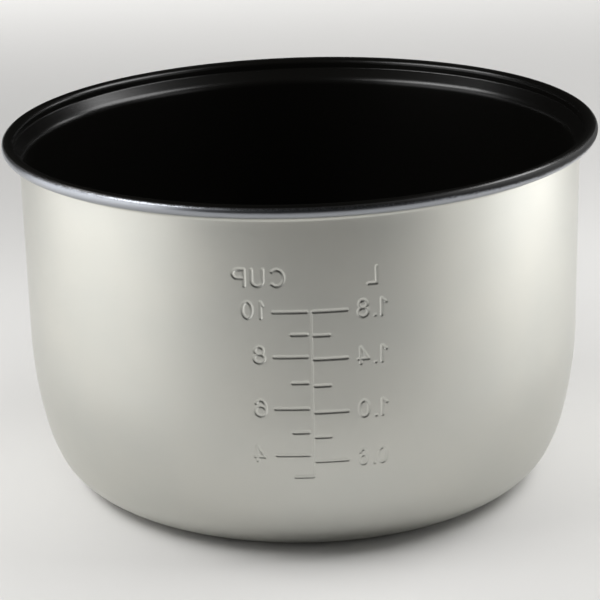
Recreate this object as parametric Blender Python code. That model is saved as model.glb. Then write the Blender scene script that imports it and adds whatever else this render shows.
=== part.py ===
# Inner cooking pot of a 1.8 litre (ten cup) rice cooker.
#
# A drawn aluminium pot with a rolled rim, and the non-stick lining that covers
# its inside and the top of the rim. The pot stands on z = 0, its axis is Z, and
# the scale of cup and litre marks faces -Y.
#
# Both pieces are turned from one wall path. The path starts at the neck, just
# under the rim's bead, and runs down the pot's outer face to the middle of its
# base. Every other face is the same path set in from the outer one.

import bmesh
import bpy
import numpy as np
from math import acos, cos, pi, radians, sin
from mathutils import Matrix

MM = 0.001

# Driving sizes, in millimetres
pot_height = 138.0        # base to the top of the rim
body_radius = 106.5       # outer face of the straight wall
wall = 1.6                # aluminium sheet
lining = 0.35             # coat, thicker than the real film so that it is a solid
gap = 0.3                 # clearance between the sheet and the lining
rim_overhang = 6.5        # how far the bead stands out past the wall
curl_hollow = 0.8         # radius of the hollow inside the rolled bead
curl_slot = 0.4           # opening left where the curled edge ends

# The neck drops from the bead, bends in to a short funnel, and bends back at
# the shoulder into the straight wall. Radii are those seen from inside the pot.
neck_drop = 1.5
crease_radius = 0.8
shoulder_radius = 5.0
funnel_lean = radians(42.0)

# The foot of the wall bends in three tangent arcs, from a wide belly to a
# tight knuckle. Radii are those of the outer face.
belly_radius, belly_turn = 162.0, radians(13.0)
heel_radius, heel_turn = 56.0, radians(12.0)
knuckle_radius = 22.5

# The coat ends on the outside of the bead, this far above its widest line.
coat_edge = radians(22.0)

# Scale marks: height above the base, and how far the mark runs from the spine.
# Cups stand to the left of the spine as seen from outside, litres to the right.
long_mark, short_mark = 12.4, 6.2
cup_marks = [(98.4, long_mark), (90.1, short_mark), (81.9, long_mark), (72.2, short_mark),
             (62.6, long_mark), (53.5, short_mark), (44.6, long_mark), (35.8, short_mark)]
litre_marks = [(98.4, long_mark), (89.6, short_mark), (80.9, long_mark), (71.0, short_mark),
               (61.0, long_mark), (51.6, short_mark), (42.0, long_mark)]
mark_width = 1.3
mark_depth = 0.4          # pressed into the outer face
mark_relief = 0.35        # raised on the lining
mark_land = 0.7           # flat left between the spine and a mark
spine_width = 0.6

turning_steps = 48

# Sizes that follow
stack = wall + gap + lining
bead_radius = curl_hollow + wall
rim_radius = body_radius + rim_overhang
bead_centre = (rim_radius - bead_radius, pot_height - bead_radius)
neck_radius = rim_radius - 2 * bead_radius + stack
crease_outer = crease_radius + stack
shoulder_outer = shoulder_radius - stack
facet = 2 * pi / turning_steps


def wall_moves():
    """Straight runs and bends down the outer face, from the neck to the middle of the base."""
    bend = 1 - cos(funnel_lean)
    funnel_run = (neck_radius - body_radius - (crease_outer + shoulder_outer) * bend) / sin(funnel_lean)
    top_drop = (neck_drop + (crease_outer + shoulder_outer) * sin(funnel_lean)
                + funnel_run * cos(funnel_lean))
    turned = belly_turn + heel_turn
    foot_drop = (belly_radius * sin(belly_turn) + heel_radius * (sin(turned) - sin(belly_turn))
                 + knuckle_radius * (1 - sin(turned)))
    foot_reach = (belly_radius * (1 - cos(belly_turn)) + heel_radius * (cos(belly_turn) - cos(turned))
                  + knuckle_radius * cos(turned))
    wall_run = bead_centre[1] - top_drop - foot_drop
    return [("run", neck_drop, 0, 1),
            ("bend", crease_outer, funnel_lean, 3),
            ("run", funnel_run, 0, 1),
            ("bend", shoulder_outer, -funnel_lean, 4),
            ("run", wall_run, 0, 1),
            ("bend", belly_radius, belly_turn, 4),
            ("bend", heel_radius, heel_turn, 2),
            ("bend", knuckle_radius, pi / 2 - turned, 6),
            ("run", body_radius - foot_reach, 0, 1)]


def wall_path(inset):
    """(radius, height) points of a face set in from the outer one, from the neck to the axis."""
    radius, height, lean = neck_radius - inset, bead_centre[1], 0.0
    points = [(radius, height)]
    for kind, size, turn, steps in wall_moves():
        if kind == "run":
            radius -= size * sin(lean)
            height -= size * cos(lean)
            points.append((radius, height))
            continue
        side = 1 if turn > 0 else -1
        reach = size - side * inset
        for i in range(1, steps + 1):
            now = lean + turn * i / steps
            points.append((radius - side * reach * (cos(lean) - cos(now)),
                           height - side * reach * (sin(now) - sin(lean))))
        radius, height = points[-1]
        lean += turn
    points[-1] = (0.0, points[-1][1])
    return points


def bead_arc(radius, start, end, steps):
    """Points around the middle of the bead, both ends included."""
    angles = [start + (end - start) * i / steps for i in range(steps + 1)]
    return [(bead_centre[0] + radius * cos(a), bead_centre[1] + radius * sin(a)) for a in angles]


def radius_at(inset, height):
    """Radius of the straight wall or the foot at one height."""
    lower = [p for p in wall_path(inset)[:-1] if p[1] < pot_height - 2 * bead_radius]
    return float(np.interp(height, [p[1] for p in reversed(lower)], [p[0] for p in reversed(lower)]))


def material(name, colour, roughness, metallic):
    made = bpy.data.materials.new(name)
    made.use_nodes = True
    shader = made.node_tree.nodes["Principled BSDF"]
    shader.inputs["Base Color"].default_value = (*colour, 1.0)
    shader.inputs["Roughness"].default_value = roughness
    shader.inputs["Metallic"].default_value = metallic
    return made


def add_object(name, bm, made_material=None):
    mesh = bpy.data.meshes.new(name)
    bm.to_mesh(mesh)
    bm.free()
    obj = bpy.data.objects.new(name, mesh)
    bpy.context.collection.objects.link(obj)
    if made_material:
        mesh.materials.append(made_material)
    return obj


def turned_object(name, profile, made_material):
    """Turn a (radius, height) profile about Z. It runs up the inside and down the outside."""
    bm = bmesh.new()
    verts = [bm.verts.new((r * MM, 0, z * MM)) for r, z in profile]
    for a, b in zip(verts, verts[1:]):
        bm.edges.new((a, b))
    obj = add_object(name, bm, made_material)
    screw = obj.modifiers.new("turning", "SCREW")
    screw.steps = screw.render_steps = turning_steps
    screw.use_merge_vertices = True
    screw.merge_threshold = 0.00005
    screw.use_smooth_shade = True
    return obj


def mark_blocks(inset, inner, outer):
    """One block per scale mark, reaching from inner to outer past the face at this inset."""
    bm = bmesh.new()
    middle = (inner + outer) / 2
    for side, marks in ((-1, cup_marks), (1, litre_marks)):
        for height, length in marks:
            half_facet = radius_at(inset, height) * sin(facet / 2)
            flat_radius = radius_at(inset, height) * cos(facet / 2)
            from_spine = spine_width / 2 + mark_land + length / 2
            slope = radius_at(inset, height + 1) - radius_at(inset, height - 1)
            turn = Matrix.Rotation(side * facet / 2, 4, "Z")
            place = Matrix.Translation((side * (from_spine - half_facet) * MM,
                                        -(flat_radius + middle) * MM, height * MM))
            tilt = Matrix.Rotation(slope / 2, 4, "X")
            size = Matrix.Diagonal((length * MM, (outer - inner) * MM, mark_width * MM, 1))
            bmesh.ops.create_cube(bm, size=1, matrix=turn @ place @ tilt @ size)
    return bm


def spine_block(inset, inner, outer):
    """The line that joins the marks, a thin slab that follows the wall."""
    heights = np.linspace(cup_marks[-1][0], cup_marks[0][0], 8)
    front = [(radius_at(inset, h) + outer, h) for h in heights]
    back = [(radius_at(inset, h) + inner, h) for h in reversed(heights)]
    bm = bmesh.new()
    verts = [bm.verts.new((-spine_width / 2 * MM, -r * MM, z * MM)) for r, z in front + back]
    side = bm.faces.new(verts)
    moved = bmesh.ops.extrude_face_region(bm, geom=[side])["geom"]
    bmesh.ops.translate(bm, vec=(spine_width * MM, 0, 0),
                        verts=[v for v in moved if isinstance(v, bmesh.types.BMVert)])
    bmesh.ops.recalc_face_normals(bm, faces=bm.faces)
    return bm


def add_marks(obj, operation, inset, inner, outer):
    for kind, bm in (("marks", mark_blocks(inset, inner, outer)), ("spine", spine_block(inset, inner, outer))):
        cutter = add_object(f"{obj.name}_{kind}_cutter", bm)
        cutter.hide_render = True
        cutter.display_type = "WIRE"
        boolean = obj.modifiers.new(kind, "BOOLEAN")
        boolean.operation = operation
        boolean.object = cutter


def make_pot_shell():
    """Sheet pot: inner face, rolled bead with its open curl, then the outer face."""
    slot_end = acos((stack - bead_radius + curl_slot) / curl_hollow)
    hollow_top = acos((stack - bead_radius) / curl_hollow)
    profile = list(reversed(wall_path(wall)))[:-1]
    profile += bead_arc(bead_radius - gap - lining, pi, coat_edge, 8)
    profile += bead_arc(bead_radius, coat_edge, -slot_end, 6)
    profile += bead_arc(curl_hollow, -slot_end, hollow_top, 6)
    profile += wall_path(0)
    shell = turned_object("pot_shell", profile, material("satin_aluminium", (0.62, 0.61, 0.59), 0.38, 1.0))
    add_marks(shell, "DIFFERENCE", 0, -mark_depth, 1.0)
    return shell


def make_nonstick_lining():
    """Coat over the inside and the top of the bead, with the marks raised on it."""
    end = coat_edge + gap / bead_radius
    profile = list(reversed(wall_path(stack)))[:-1]
    profile += bead_arc(bead_radius, pi, end, 8)
    profile += bead_arc(bead_radius - lining, end, pi, 8)
    profile += wall_path(wall + gap)[1:]
    coat = turned_object("nonstick_lining", profile, material("nonstick_coating", (0.012, 0.012, 0.012), 0.42, 0.0))
    add_marks(coat, "UNION", stack, -mark_relief, lining / 2)
    return coat


for old in list(bpy.data.objects):
    bpy.data.objects.remove(old, do_unlink=True)

make_pot_shell()
make_nonstick_lining()
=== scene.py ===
# Inner pot of a ten cup rice cooker: a drawn aluminium pot with a rolled rim,
# and the black non-stick coat that lines it. The scale faces -Y and reads from
# inside, so from outside its figures are back to front.

import math

import bmesh
import bpy
import numpy as np
from mathutils import Matrix, Vector


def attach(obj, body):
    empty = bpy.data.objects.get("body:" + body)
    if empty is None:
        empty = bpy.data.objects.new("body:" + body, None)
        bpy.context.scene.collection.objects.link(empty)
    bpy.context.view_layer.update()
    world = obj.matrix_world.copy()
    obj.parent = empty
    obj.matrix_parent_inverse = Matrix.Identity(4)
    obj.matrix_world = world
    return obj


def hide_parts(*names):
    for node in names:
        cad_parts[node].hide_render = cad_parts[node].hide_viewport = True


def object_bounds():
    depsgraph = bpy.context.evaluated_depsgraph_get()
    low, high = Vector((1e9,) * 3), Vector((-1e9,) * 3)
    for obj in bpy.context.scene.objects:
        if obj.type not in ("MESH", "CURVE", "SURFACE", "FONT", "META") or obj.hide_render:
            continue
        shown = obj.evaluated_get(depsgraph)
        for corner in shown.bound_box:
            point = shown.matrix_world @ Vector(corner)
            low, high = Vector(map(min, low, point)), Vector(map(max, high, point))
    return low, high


mm = 0.001

print("frame: loading the packed pot")
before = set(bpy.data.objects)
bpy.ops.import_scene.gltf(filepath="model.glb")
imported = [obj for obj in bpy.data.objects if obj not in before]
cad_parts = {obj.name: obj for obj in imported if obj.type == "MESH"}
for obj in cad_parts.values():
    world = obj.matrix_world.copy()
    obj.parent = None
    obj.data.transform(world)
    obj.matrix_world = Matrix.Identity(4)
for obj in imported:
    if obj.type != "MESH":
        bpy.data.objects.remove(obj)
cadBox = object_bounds()
potLow, potHigh = cadBox


def addNode(tree, kind, settings=None, inputs=None):
    # Adds one node. An input is a plain value, or an output to link from.
    node = tree.nodes.new(kind)
    for name, value in (settings or {}).items():
        setattr(node, name, value)
    for key, value in (inputs or {}).items():
        if isinstance(value, bpy.types.NodeSocket):
            tree.links.new(value, node.inputs[key])
        else:
            node.inputs[key].default_value = value
    return node


def hexColour(text):
    # sRGB hex to the linear colour that nodes and lights take
    parts = [int(text[i:i + 2], 16) / 255 for i in (1, 3, 5)]
    linear = [p / 12.92 if p <= 0.04045 else ((p + 0.055) / 1.055) ** 2.4 for p in parts]
    return (*linear, 1.0)


# Sizes in millimetres. Bend radii are those of the outer path, before any inset.
potSizes = {
    "height": (potHigh.z - potLow.z) / mm,
    "rimRadius": (potHigh.x - potLow.x) / 2 / mm,
    "rimOverhang": 6.5,        # bead past the straight wall
    "stack": 2.25,             # sheet and coat together
    "film": 0.06,              # the sprayed coat
    "filmSeat": 0.01,          # keeps the coat's back clear of the sheet
    "curlHollow": 0.8,         # radius of the hollow in the rolled bead
    "curlSheet": 1.6,          # the sheet thins where it is rolled
    "curlSlot": 0.4,           # opening left at the curled edge
    # The neck is coined thin, so its inside and outside bend differently
    "insideNeck": {"drop": 1.5, "crease": 3.05, "shoulder": 2.75, "lean": math.radians(42.0)},
    "outsideNeck": {"drop": 1.65, "crease": 0.6, "shoulder": 1.8, "lean": math.radians(66.0)},
    "bellyRadius": 162.0, "bellyTurn": math.radians(13.0),
    "heelRadius": 56.0, "heelTurn": math.radians(12.0),
    "knuckleRadius": 22.5,
    "turningSteps": 240,
    "rowSpacing": 2.8,         # rows of faces down a straight run
    "bendStep": math.radians(5.0),
}

size = potSizes
bodyRadius = size["rimRadius"] - size["rimOverhang"]
beadRadius = size["curlHollow"] + size["curlSheet"]
beadMiddle = (size["rimRadius"] - beadRadius, size["height"] - beadRadius)
neckRadius = size["rimRadius"] - 2 * beadRadius + size["stack"]


def wallMoves(neck):
    # Runs and bends down a face, from the neck to the middle of the base
    lean, crease, shoulder = neck["lean"], neck["crease"], neck["shoulder"]
    spread = (crease + shoulder) * (1 - math.cos(lean))
    funnelRun = (neckRadius - bodyRadius - spread) / math.sin(lean)
    topDrop = neck["drop"] + (crease + shoulder) * math.sin(lean) + funnelRun * math.cos(lean)
    belly, heel, knuckle = size["bellyRadius"], size["heelRadius"], size["knuckleRadius"]
    first = size["bellyTurn"]
    second = first + size["heelTurn"]
    footDrop = (belly * math.sin(first) + heel * (math.sin(second) - math.sin(first))
                + knuckle * (1 - math.sin(second)))
    footReach = (belly * (1 - math.cos(first)) + heel * (math.cos(first) - math.cos(second))
                 + knuckle * math.cos(second))
    return [("run", neck["drop"], 0),
            ("bend", crease, lean),
            ("run", funnelRun, 0),
            ("bend", shoulder, -lean),
            ("run", beadMiddle[1] - topDrop - footDrop, 0),
            ("bend", belly, first),
            ("bend", heel, second - first),
            ("bend", knuckle, math.pi / 2 - second),
            ("run", bodyRadius - footReach, 0)]


def wallPath(inset):
    # (radius, height) down a face set in from the outer one
    neck = size["insideNeck"] if inset else size["outsideNeck"]
    radius, height, lean = neckRadius - inset, beadMiddle[1], 0.0
    points = [(radius, height)]
    for kind, length, turn in wallMoves(neck):
        side = 1 if turn > 0 else -1
        if kind == "run":
            steps = max(1, round(length / size["rowSpacing"]))
            moves = [(-length * i / steps * math.sin(lean), -length * i / steps * math.cos(lean))
                     for i in range(1, steps + 1)]
        else:
            reach = length - side * inset
            sweep = abs(turn)
            steps = max(2, round(max(sweep / size["bendStep"], reach * sweep / size["rowSpacing"])))
            leans = [lean + turn * i / steps for i in range(1, steps + 1)]
            moves = [(-side * reach * (math.cos(lean) - math.cos(now)),
                      -side * reach * (math.sin(now) - math.sin(lean))) for now in leans]
            lean += turn
        points += [(radius + out, height + up) for out, up in moves]
        radius, height = points[-1]
    points[-1] = (0.0, height)
    return points


def beadArc(radius, start, end):
    steps = max(2, round(abs(end - start) / math.radians(7.5)))
    angles = [start + (end - start) * i / steps for i in range(steps + 1)]
    return [(beadMiddle[0] + radius * math.cos(a), beadMiddle[1] + radius * math.sin(a)) for a in angles]


def radiusAt(inset, heights):
    # Radius of the straight wall or the foot at these heights
    lower = [p for p in wallPath(inset)[:-1] if p[1] < size["height"] - 2 * beadRadius]
    return np.interp(heights, [p[1] for p in reversed(lower)], [p[0] for p in reversed(lower)])


def turningTree():
    # Turns a flat section about Z: one grid column for each step round, one row
    # for each point of the section
    tree = bpy.data.node_groups.new("turning", "GeometryNodeTree")
    for name, kind, inOut in (("Section", "NodeSocketGeometry", "INPUT"),
                              ("Steps", "NodeSocketInt", "INPUT"),
                              ("Weld", "NodeSocketFloat", "INPUT"),
                              ("Finish", "NodeSocketMaterial", "INPUT"),
                              ("Turned", "NodeSocketGeometry", "OUTPUT")):
        tree.interface.new_socket(name, in_out=inOut, socket_type=kind)
    given = addNode(tree, "NodeGroupInput").outputs
    count = addNode(tree, "GeometryNodeAttributeDomainSize", inputs={"Geometry": given["Section"]})
    columns = addNode(tree, "ShaderNodeMath", {"operation": "ADD"}, {0: given["Steps"], 1: 1.0})
    grid = addNode(tree, "GeometryNodeMeshGrid",
                   inputs={"Vertices X": count.outputs["Point Count"], "Vertices Y": columns.outputs[0]})
    index = addNode(tree, "GeometryNodeInputIndex")
    share = addNode(tree, "ShaderNodeMath", {"operation": "DIVIDE"},
                    {0: index.outputs[0], 1: columns.outputs[0]})
    row = addNode(tree, "ShaderNodeMath", {"operation": "FLOOR"}, {0: share.outputs[0]})
    column = addNode(tree, "ShaderNodeMath", {"operation": "MODULO"},
                     {0: index.outputs[0], 1: columns.outputs[0]})
    position = addNode(tree, "GeometryNodeInputPosition")
    sample = addNode(tree, "GeometryNodeSampleIndex", {"data_type": "FLOAT_VECTOR", "domain": "POINT"},
                     {"Geometry": given["Section"], "Value": position.outputs[0], "Index": row.outputs[0]})
    part = addNode(tree, "ShaderNodeMath", {"operation": "DIVIDE"},
                   {0: column.outputs[0], 1: given["Steps"]})
    angle = addNode(tree, "ShaderNodeMath", {"operation": "MULTIPLY"}, {0: part.outputs[0], 1: math.tau})
    turned = addNode(tree, "ShaderNodeVectorRotate", {"rotation_type": "Z_AXIS"},
                     {"Vector": sample.outputs["Value"], "Angle": angle.outputs[0]})
    placed = addNode(tree, "GeometryNodeSetPosition",
                     inputs={"Geometry": grid.outputs["Mesh"], "Position": turned.outputs[0]})
    welded = addNode(tree, "GeometryNodeMergeByDistance",
                     inputs={"Geometry": placed.outputs[0], "Distance": given["Weld"]})
    smooth = addNode(tree, "GeometryNodeSetShadeSmooth", inputs={"Geometry": welded.outputs[0]})
    real = addNode(tree, "GeometryNodeRealizeInstances", inputs={"Geometry": smooth.outputs[0]})
    finished = addNode(tree, "GeometryNodeSetMaterial",
                       inputs={"Geometry": real.outputs[0], "Material": given["Finish"]})
    addNode(tree, "NodeGroupOutput", inputs={"Turned": finished.outputs[0]})
    return tree


def turnedPiece(name, section, finish):
    # The section runs up the inside of the piece and down its outside
    flat = bpy.data.meshes.new(name + "_section")
    flat.from_pydata([(0, r * mm, z * mm) for r, z in section],
                     [(i, i + 1) for i in range(len(section) - 1)], [])
    holder = bpy.data.objects.new(name + "_section", flat)
    bpy.context.collection.objects.link(holder)
    modifier = holder.modifiers.new("turning", "NODES")
    modifier.node_group = turning
    sockets = {item.name: item.identifier for item in turning.interface.items_tree
               if item.in_out == "INPUT"}
    modifier[sockets["Steps"]] = size["turningSteps"]
    modifier[sockets["Weld"]] = 0.004 * mm
    modifier[sockets["Finish"]] = finish
    graph = bpy.context.evaluated_depsgraph_get()
    mesh = bpy.data.meshes.new_from_object(holder.evaluated_get(graph))
    bpy.data.objects.remove(holder)
    mesh.name = name
    piece = bpy.data.objects.new(name, mesh)
    bpy.context.collection.objects.link(piece)
    return piece


# Heights are above the base, lengths run from the spine. Cups stand to the left
# as seen from outside, litres to the right.
scaleSizes = {
    "longMark": 12.4, "shortMark": 6.2,
    "cups": [98.4, 90.1, 81.9, 72.2, 62.6, 53.5, 44.6, 35.8],
    "litres": [98.4, 89.6, 80.9, 71.0, 61.0, 51.6, 42.0],
    "cupStart": 1.2,           # clear space between the spine and a cup mark
    "litreStart": 0.3,
    "markWidth": 1.05, "spineWidth": 0.5, "figureWidth": 0.88,
    "figureHeight": 6.8,
    "topEdge": 0.4,            # how far a pressed edge rounds over, above a stroke
    "bottomEdge": 0.25,        # and below it, where the punch bites harder
    "pressed": 0.23,           # into the outer face
    "raised": 0.35,            # on the lining
    "margins": (3.2, 1.7, 0.9, 0.4),      # faces this near a stroke are halved, once for each
}

# What each figure is drawn with, in a box one wide and one high: lines are
# (x, y) corners, arcs are (centre x, centre y, radius x, radius y, from, to).
figureStrokes = {
    "C": [("arc", 0.5, 0.5, 0.5, 0.5, 50, 310)],
    "U": [("line", (0, 1), (0, 0.33)), ("arc", 0.5, 0.33, 0.5, 0.33, 180, 360),
          ("line", (1, 0.33), (1, 1))],
    "P": [("line", (0, 0), (0, 1), (0.55, 1)), ("arc", 0.55, 0.73, 0.45, 0.27, -90, 90),
          ("line", (0.55, 0.46), (0, 0.46))],
    "L": [("line", (0, 1), (0, 0), (1, 0))],
    "0": [("arc", 0.5, 0.5, 0.5, 0.5, 0, 360)],
    "1": [("line", (0, 0.78), (1, 1), (1, 0))],
    "4": [("line", (0.76, 0), (0.76, 1), (0, 0.27), (1, 0.27))],
    "6": [("arc", 0.5, 0.31, 0.5, 0.31, 0, 360), ("line", (0, 0.31), (0, 0.55)),
          ("arc", 0.52, 0.55, 0.52, 0.45, 35, 180)],
    "8": [("arc", 0.5, 0.76, 0.41, 0.24, 0, 360), ("arc", 0.5, 0.27, 0.5, 0.27, 0, 360)],
    ".": [("line", (0.5, 0), (0.5, 0.001))],
}

# (figure, left edge, right edge, top) as read from inside
figurePlaces = [
    ("C", 8.7, 14.5, 114.2), ("U", 15.9, 20.7, 114.2), ("P", 22.4, 27.3, 114.2),
    ("1", 16.3, 17.9, 102.5), ("0", 20.0, 24.2, 102.5),
    ("8", 16.1, 20.6, 86.1), ("6", 16.1, 20.6, 66.2), ("4", 17.0, 21.4, 48.6),
    ("L", -23.3, -19.4, 113.6),
    ("1", -26.5, -24.1, 101.9), (".", -22.7, -21.7, 101.9), ("8", -20.1, -15.8, 101.9),
    ("1", -26.5, -24.1, 84.7), (".", -22.7, -21.7, 84.7), ("4", -20.1, -15.6, 84.7),
    ("1", -26.5, -24.1, 64.8), (".", -22.7, -21.7, 64.8), ("0", -20.1, -15.8, 64.8),
    ("0", -26.8, -22.6, 46.1), (".", -22.3, -21.3, 46.1), ("6", -19.5, -15.9, 46.1),
]


def figureLines(figure, left, right, top):
    # Corners of a figure's strokes, on the wall rolled out flat and seen from outside
    half = scaleSizes["figureWidth"] / 2
    wide = right - left - 2 * half
    high = scaleSizes["figureHeight"] - 2 * half
    base = top - scaleSizes["figureHeight"] + half
    lines = []
    for stroke in figureStrokes[figure]:
        if stroke[0] == "line":
            corners = stroke[1:]
        else:
            x, y, across, up, start, end = stroke[1:]
            turns = [math.radians(start + (end - start) * i / 20) for i in range(21)]
            corners = [(x + across * math.cos(a), y + up * math.sin(a)) for a in turns]
        lines.append([(-(left + half + x * wide), base + y * high) for x, y in corners])
    return lines


def scaleSegments():
    # Every stroke of the scale as straight pieces: x, y, x, y, half width
    found = []
    half = scaleSizes["markWidth"] / 2
    for heights, start, side in ((scaleSizes["cups"], scaleSizes["cupStart"], -1),
                                 (scaleSizes["litres"], scaleSizes["litreStart"], 1)):
        for i, height in enumerate(heights):
            length = scaleSizes["shortMark"] if i % 2 else scaleSizes["longMark"]
            inner, outer = start + half, start + length - half
            if side < 0 and i == len(heights) - 1:
                inner, outer = half, scaleSizes["shortMark"] + half
            found.append((side * inner, height, side * outer, height, half))
    found.append((0, scaleSizes["cups"][-1], 0, scaleSizes["cups"][0], scaleSizes["spineWidth"] / 2))
    for place in figurePlaces:
        for line in figureLines(*place):
            for (x, y), (nextX, nextY) in zip(line, line[1:]):
                found.append((x, y, nextX, nextY, scaleSizes["figureWidth"] / 2))
    return np.array(found)


def edgeDistance(points, segments):
    # How far each point on the rolled out wall is outside the nearest stroke's edge,
    # and where it lies across that stroke, from -1 at the bottom to 1 at the top
    nearest = np.full(len(points), 99.0)
    across = np.zeros(len(points))
    for x, y, nextX, nextY, half in segments:
        along = np.array((nextX - x, nextY - y))
        offset = points - (x, y)
        share = np.clip(offset @ along / max(along @ along, 1e-9), 0, 1)
        rest = offset - share[:, None] * along
        away = np.hypot(*rest.T) - half
        across = np.where(away < nearest, np.clip(rest[:, 1] / half, -1, 1), across)
        nearest = np.minimum(nearest, away)
    return nearest, across


def pressScale(piece, inset, depth):
    # Refines the faces round each stroke, then moves them in or out by depth
    segments = scaleSegments()
    low, high = segments[:, [1, 3]].min() - 4, segments[:, [1, 3]].max() + 4
    reach = np.abs(segments[:, [0, 2]]).max() + 4
    bm = bmesh.new()
    bm.from_mesh(piece.data)

    def rolledOut(places):
        # Marks the points that lie on the face to press, and rolls it out flat
        places = np.array(places).reshape(-1, 3) / mm
        radius = np.hypot(places[:, 0], places[:, 1])
        flat = np.stack([np.arctan2(places[:, 0], -places[:, 1]) * bodyRadius, places[:, 2]], 1)
        on = (np.abs(radius - radiusAt(inset, places[:, 2])) < 0.05) & (np.abs(flat[:, 0]) < reach)
        return flat, on & (places[:, 2] > low) & (places[:, 2] < high)

    for margin in scaleSizes["margins"]:
        flat, on = rolledOut([f.calc_center_median() for f in bm.faces])
        near = np.flatnonzero(on)
        near = near[edgeDistance(flat[near], segments)[0] < margin]
        bm.faces.ensure_lookup_table()
        edges = {e for i in near for e in bm.faces[i].edges}
        bmesh.ops.subdivide_edges(bm, edges=list(edges), cuts=1, use_grid_fill=True)

    verts = list(bm.verts)
    flat, on = rolledOut([v.co for v in verts])
    near = np.flatnonzero(on)
    away, across = edgeDistance(flat[near], segments)
    edge = np.interp(across, (-1, 1), (scaleSizes["bottomEdge"], scaleSizes["topEdge"]))
    share = np.clip((edge - away) / (2 * edge), 0, 1)
    move = depth * share * share * (3 - 2 * share)
    radius = (radiusAt(inset, flat[near, 1]) + move) * mm
    for i, to in zip(near, radius):
        v = verts[i]
        out = math.hypot(v.co.x, v.co.y)
        v.co.x *= to / out
        v.co.y *= to / out
    bm.to_mesh(piece.data)
    bm.free()


turnedLines = {"spacing": 0.25, "length": 40.0}      # too fine to show at its true 0.05 mm


def pathCoordinates(tree):
    # Coordinates that follow a turned surface: unit direction round, and how far along the section
    place = addNode(tree, "ShaderNodeTexCoord").outputs["Object"]
    split = addNode(tree, "ShaderNodeSeparateXYZ", inputs={0: place})
    level = addNode(tree, "ShaderNodeVectorMath", {"operation": "MULTIPLY"}, {0: place, 1: (1, 1, 0)})
    radius = addNode(tree, "ShaderNodeVectorMath", {"operation": "LENGTH"}, {0: level.outputs[0]})
    unit = addNode(tree, "ShaderNodeVectorMath", {"operation": "NORMALIZE"}, {0: level.outputs[0]})
    along = addNode(tree, "ShaderNodeMath", {"operation": "ADD"},
                    {0: radius.outputs["Value"], 1: split.outputs["Z"]})
    return place, unit.outputs[0], radius.outputs["Value"], split.outputs["Z"], along.outputs[0]


def newFinish(name):
    finish = bpy.data.materials.new(name)
    finish.use_nodes = True
    tree = finish.node_tree
    tree.nodes.clear()
    return finish, tree


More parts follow.
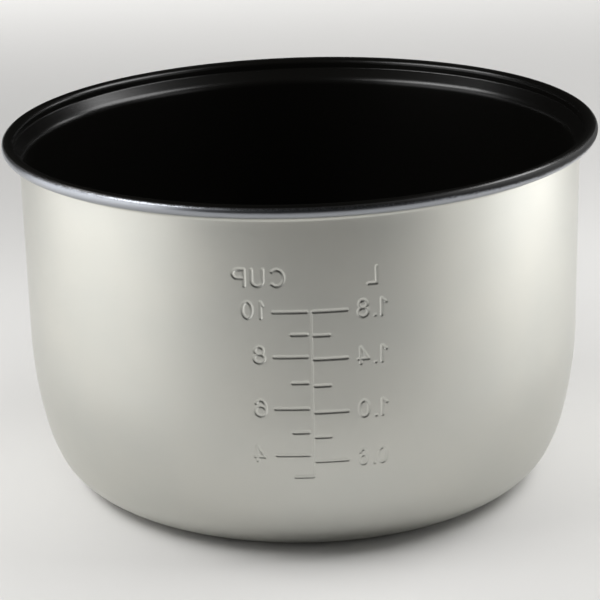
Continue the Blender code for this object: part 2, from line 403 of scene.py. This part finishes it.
def etchedAluminium():
    # Drawn aluminium sheet, etched and clear anodised: an even satin with a warm grey
    # tone, faint turning lines round the wall and hardly any grain
    finish, tree = newFinish("etched_anodised_aluminium")
    place, unit, radius, height, along = pathCoordinates(tree)
    stretched = addNode(tree, "ShaderNodeVectorMath", {"operation": "SCALE"},
                        {0: unit, "Scale": bodyRadius / turnedLines["length"]})
    fine = addNode(tree, "ShaderNodeMath", {"operation": "MULTIPLY"},
                   {0: along, 1: 1 / (turnedLines["spacing"] * mm)})
    lift = addNode(tree, "ShaderNodeCombineXYZ", inputs={"Z": fine.outputs[0]})
    lineAt = addNode(tree, "ShaderNodeVectorMath", {"operation": "ADD"},
                     {0: stretched.outputs[0], 1: lift.outputs[0]})
    lines = addNode(tree, "ShaderNodeTexNoise",
                    inputs={"Vector": lineAt.outputs[0], "Scale": 1.0, "Detail": 3.0, "Roughness": 0.6})
    cloud = addNode(tree, "ShaderNodeTexNoise",
                    inputs={"Vector": place, "Scale": 1 / (28 * mm), "Detail": 2.0, "Roughness": 0.5})
    grain = addNode(tree, "ShaderNodeTexNoise",
                    inputs={"Vector": place, "Scale": 1 / (0.35 * mm), "Detail": 2.0, "Roughness": 0.6})
    tone = addNode(tree, "ShaderNodeMix", {"data_type": "RGBA"},
                   {"Factor": cloud.outputs["Fac"], "A": hexColour("#cccbc4"), "B": hexColour("#c4c5c0")})
    rough = addNode(tree, "ShaderNodeMapRange",
                    inputs={"Value": cloud.outputs["Fac"], "To Min": 0.36, "To Max": 0.42})
    streak = addNode(tree, "ShaderNodeMapRange",
                     inputs={"Value": lines.outputs["Fac"], "To Min": -0.03, "To Max": 0.03})
    roughness = addNode(tree, "ShaderNodeMath", {"operation": "ADD"},
                        {0: rough.outputs[0], 1: streak.outputs[0]})
    relief = addNode(tree, "ShaderNodeMath", {"operation": "ADD"},
                     {0: lines.outputs["Fac"], 1: grain.outputs["Fac"]})
    bump = addNode(tree, "ShaderNodeBump",
                   inputs={"Strength": 0.1, "Distance": 0.003 * mm, "Height": relief.outputs[0]})
    bare = addNode(tree, "ShaderNodeBsdfPrincipled",
                   inputs={"Base Color": tone.outputs["Result"], "Metallic": 1.0,
                           "Roughness": roughness.outputs[0], "Normal": bump.outputs[0]})

    # The rolled rim is burnished, so it is smoother; its darker, a little cooler tone is a painted
    # reflection of bluish surroundings
    burnishedRimPaintedReflection = addNode(tree, "ShaderNodeBsdfPrincipled",
                       inputs={"Base Color": hexColour("#9da0a6"), "Metallic": 1.0, "Roughness": 0.3,
                               "Normal": bump.outputs[0]})
    beadFrom = (size["height"] - 2 * beadRadius) * mm
    onBead = addNode(tree, "ShaderNodeMapRange",
                     inputs={"Value": height, "From Min": beadFrom - 0.2 * mm,
                             "From Max": beadFrom + 0.2 * mm})
    metal = addNode(tree, "ShaderNodeMixShader",
                    inputs={0: onBead.outputs[0], 1: bare.outputs[0], 2: burnishedRimPaintedReflection.outputs[0]})

    # Overspray from the lining ends in a ragged, speckled edge on the bead's outside. Towards +X the black
    # edge is set further down the bead, which darkens the bead's right side
    out = addNode(tree, "ShaderNodeMath", {"operation": "SUBTRACT"}, {0: radius, 1: beadMiddle[0] * mm})
    up = addNode(tree, "ShaderNodeMath", {"operation": "SUBTRACT"}, {0: height, 1: beadMiddle[1] * mm})
    angle = addNode(tree, "ShaderNodeMath", {"operation": "ARCTAN2"},
                    {0: up.outputs[0], 1: out.outputs[0]})
    patches = addNode(tree, "ShaderNodeTexNoise",
                      inputs={"Vector": place, "Scale": 1 / (1.6 * mm), "Detail": 1.0})
    drops = addNode(tree, "ShaderNodeTexNoise",
                    inputs={"Vector": place, "Scale": 1 / (0.45 * mm), "Detail": 2.0, "Roughness": 0.7})
    wave = addNode(tree, "ShaderNodeMapRange",
                   inputs={"Value": patches.outputs["Fac"], "To Min": math.radians(6),
                           "To Max": math.radians(-6)})
    spray = addNode(tree, "ShaderNodeMapRange",
                    inputs={"Value": drops.outputs["Fac"], "From Min": 0.3, "From Max": 0.7,
                            "To Min": math.radians(-9), "To Max": math.radians(9)})
    shifted = addNode(tree, "ShaderNodeMath", {"operation": "ADD"},
                      {0: angle.outputs[0], 1: wave.outputs[0]})
    ragged = addNode(tree, "ShaderNodeMath", {"operation": "ADD"},
                     {0: shifted.outputs[0], 1: spray.outputs[0]})
    around = addNode(tree, "ShaderNodeSeparateXYZ", inputs={0: unit})
    rightSideReach = addNode(tree, "ShaderNodeMapRange",
                    inputs={"Value": around.outputs["X"], "From Min": 0.0, "From Max": 0.7,
                            "To Max": math.radians(46)})
    edge = addNode(tree, "ShaderNodeMath", {"operation": "ADD"},
                   {0: ragged.outputs[0], 1: rightSideReach.outputs[0]})
    cover = addNode(tree, "ShaderNodeMapRange",
                    inputs={"Value": edge.outputs[0], "From Min": math.radians(22),
                            "From Max": math.radians(44)})
    black = addNode(tree, "ShaderNodeBsdfPrincipled",
                    inputs={"Base Color": hexColour("#0b0b0b"), "Roughness": 0.6, "IOR": 1.33})
    both = addNode(tree, "ShaderNodeMixShader",
                   inputs={0: cover.outputs[0], 1: metal.outputs[0], 2: black.outputs[0]})
    addNode(tree, "ShaderNodeOutputMaterial", inputs={"Surface": both.outputs[0]})
    return finish


def fluoropolymerCoat():
    # Black fluoropolymer, sprayed and baked: a deep semi-matt black with a fine orange peel
    finish, tree = newFinish("sprayed_fluoropolymer")
    place = addNode(tree, "ShaderNodeTexCoord").outputs["Object"]
    peel = addNode(tree, "ShaderNodeTexNoise",
                   inputs={"Vector": place, "Scale": 1 / (0.9 * mm), "Detail": 2.0, "Roughness": 0.5})
    fleck = addNode(tree, "ShaderNodeTexNoise",
                    inputs={"Vector": place, "Scale": 1 / (0.3 * mm), "Detail": 2.0, "Roughness": 0.6})
    tone = addNode(tree, "ShaderNodeMix", {"data_type": "RGBA"},
                   {"Factor": fleck.outputs["Fac"], "A": hexColour("#060605"), "B": hexColour("#0c0b09")})
    rough = addNode(tree, "ShaderNodeMapRange",
                    inputs={"Value": peel.outputs["Fac"], "To Min": 0.24, "To Max": 0.28})
    bump = addNode(tree, "ShaderNodeBump",
                   inputs={"Strength": 0.1, "Distance": 0.006 * mm, "Height": peel.outputs["Fac"]})
    coat = addNode(tree, "ShaderNodeBsdfPrincipled",
                   inputs={"Base Color": tone.outputs["Result"], "Roughness": rough.outputs[0], "IOR": 1.38,
                           "Normal": bump.outputs[0]})
    addNode(tree, "ShaderNodeOutputMaterial", inputs={"Surface": coat.outputs[0]})
    return finish


coatEdge = {"film": math.radians(48.0)}      # the solid film ends here, the overspray goes on below it


def makePotShell():
    sheet = size["stack"] - size["film"] - size["filmSeat"]
    slotEnd = math.acos((size["stack"] - beadRadius + size["curlSlot"]) / size["curlHollow"])
    hollowTop = math.acos((size["stack"] - beadRadius) / size["curlHollow"])
    section = wallPath(sheet)[::-1][:-1]
    section += beadArc(beadRadius - size["film"] - size["filmSeat"], math.pi, coatEdge["film"])
    section += beadArc(beadRadius, coatEdge["film"], -slotEnd)
    section += beadArc(size["curlHollow"], -slotEnd, hollowTop)
    section += wallPath(0)
    shell = turnedPiece("pot_shell_turned", section, etchedAluminium())
    pressScale(shell, 0, -scaleSizes["pressed"])
    return shell


def makeLining():
    section = wallPath(size["stack"])[::-1][:-1]
    section += beadArc(beadRadius, math.pi, coatEdge["film"])
    section += beadArc(beadRadius - size["film"], coatEdge["film"], math.pi)
    section += wallPath(size["stack"] - size["film"])[1:]
    lining = turnedPiece("nonstick_lining_film", section, fluoropolymerCoat())
    pressScale(lining, size["stack"], -scaleSizes["raised"])
    return lining


def finishMesh(piece):
    # Edges sharper than a pressed stroke's stay crisp, such as the curl's cut edge
    piece.data.set_sharp_from_angle(angle=math.radians(65))
    print(f"{piece.name}: {len(piece.data.polygons)} faces")


print("pieces: turning the pot and its lining")
turning = turningTree()
shell = makePotShell()
finishMesh(shell)
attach(shell, "root")
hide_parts("pot_shell")
lining = makeLining()
finishMesh(lining)
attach(lining, "root")
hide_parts("nonstick_lining")


floorSizes = {"radius": 6.0, "colour": "#cccbc9"}

# Soft boxes, in metres and watts: place, aim (None hangs it level), size, and how
# wide its light spreads where that is less than half round. They stand to the
# sides, so the front of the pot reflects the darker front of the room.
lampSizes = [
    {"name": "leftBox", "place": (-0.50, 0.04, 0.50), "aim": None,
     "size": (0.30, 0.30), "power": 3},
    {"name": "rightBox", "place": (0.52, 0.04, 0.50), "aim": None,
     "size": (0.46, 0.46), "power": 5.7},
    {"name": "leftFront", "place": (-0.50, -0.23, 0.55), "aim": None,
     "size": (0.30, 0.30), "power": 2.95},
    {"name": "leftLow", "place": (-0.54, -0.31, 0.20), "aim": (0, 0, 0.1),
     "size": (0.30, 0.36), "power": 0.58},
    {"name": "rightLow", "place": (0.54, -0.31, 0.20), "aim": (0, 0, 0.1),
     "size": (0.30, 0.36), "power": 0.36},
    {"name": "leftRim", "place": (-0.40, 0.0, 0.14), "aim": (0, 0, 0.05),
     "size": (0.30, 0.20), "power": 0.28},
    {"name": "rightRim", "place": (0.40, 0.0, 0.09), "aim": (0, 0, 0.05),
     "size": (0.30, 0.14), "power": 0.2},
    {"name": "leftBack", "place": (-0.55, 0.0, 0.28), "aim": (0, 0, 0.13),
     "size": (0.30, 0.10), "power": 0.12},
    {"name": "rightBack", "place": (0.55, 0.36, 0.31), "aim": (0, 0, 0.13),
     "size": (0.20, 0.10), "power": 0.36},
    {"name": "far", "place": (0.0, 1.50, 1.10), "aim": None,
     "size": (2.60, 1.20), "spread": 90, "power": 22.2},
]

cameraSizes = {
    "place": (-0.02822, -0.80800, 0.34574),
    "pan": -0.0543, "tilt": 0.3639, "roll": -0.0553,
    "lens": 129.65, "shift": (0.298, 0.123),
}


def makeFloor():
    # Seamless card: plain, pale and matt
    finish, tree = newFinish("pale_card")
    place = addNode(tree, "ShaderNodeTexCoord").outputs["Object"]
    fibre = addNode(tree, "ShaderNodeTexNoise",
                    inputs={"Vector": place, "Scale": 1 / (2.0 * mm), "Detail": 2.0})
    bump = addNode(tree, "ShaderNodeBump",
                   inputs={"Strength": 0.05, "Distance": 0.02 * mm, "Height": fibre.outputs["Fac"]})
    card = addNode(tree, "ShaderNodeBsdfPrincipled",
                   inputs={"Base Color": hexColour(floorSizes["colour"]), "Roughness": 0.9,
                           "Normal": bump.outputs[0]})
    addNode(tree, "ShaderNodeOutputMaterial", inputs={"Surface": card.outputs[0]})
    bm = bmesh.new()
    bmesh.ops.create_circle(bm, cap_ends=True, segments=96, radius=floorSizes["radius"])
    mesh = bpy.data.meshes.new("floor")
    bm.to_mesh(mesh)
    bm.free()
    mesh.materials.append(finish)
    floor = bpy.data.objects.new("floor", mesh)
    bpy.context.collection.objects.link(floor)


def makeLamps():
    for given in lampSizes:
        lamp = bpy.data.lights.new(given["name"], "AREA")
        lamp.shape = "RECTANGLE"
        lamp.size, lamp.size_y = given["size"]
        lamp.spread = math.radians(given.get("spread", 180))
        lamp.energy = given["power"]
        holder = bpy.data.objects.new(given["name"], lamp)
        bpy.context.collection.objects.link(holder)
        holder.visible_camera = False
        place = Vector(given["place"])
        aim = Vector(given["aim"] or (place.x, place.y, 0))
        turn = (aim - place).to_track_quat("-Z", "Y")
        holder.matrix_world = Matrix.LocRotScale(place, turn, None)


def makeWorld():
    world = bpy.data.worlds.new("studio")
    world.use_nodes = True
    tree = world.node_tree
    tree.nodes.clear()
    sky = addNode(tree, "ShaderNodeBackground", inputs={"Color": hexColour("#ffffff"), "Strength": 0.01})
    addNode(tree, "ShaderNodeOutputWorld", inputs={"Surface": sky.outputs[0]})
    bpy.context.scene.world = world


def makeCamera():
    data = bpy.data.cameras.new("camera")
    data.sensor_width = 36.0
    data.lens = cameraSizes["lens"]
    data.shift_x, data.shift_y = cameraSizes["shift"]
    data.clip_start, data.clip_end = 0.01, 50.0
    pan, tilt, roll = cameraSizes["pan"], cameraSizes["tilt"], cameraSizes["roll"]
    ahead = Vector((math.sin(pan) * math.cos(tilt), math.cos(pan) * math.cos(tilt), -math.sin(tilt)))
    level = Vector((math.cos(pan), -math.sin(pan), 0))
    upright = level.cross(ahead)
    right = math.cos(roll) * level + math.sin(roll) * upright
    top = -math.sin(roll) * level + math.cos(roll) * upright
    camera = bpy.data.objects.new("camera", data)
    bpy.context.collection.objects.link(camera)
    turn = Matrix((right, top, -ahead)).transposed()
    camera.matrix_world = Matrix.Translation(Vector(cameraSizes["place"])) @ turn.to_4x4()
    bpy.context.scene.camera = camera


print("set: floor, lamps and camera")
makeFloor()
makeLamps()
makeWorld()
makeCamera()
bpy.context.scene.view_settings.view_transform = "Standard"

print("done")
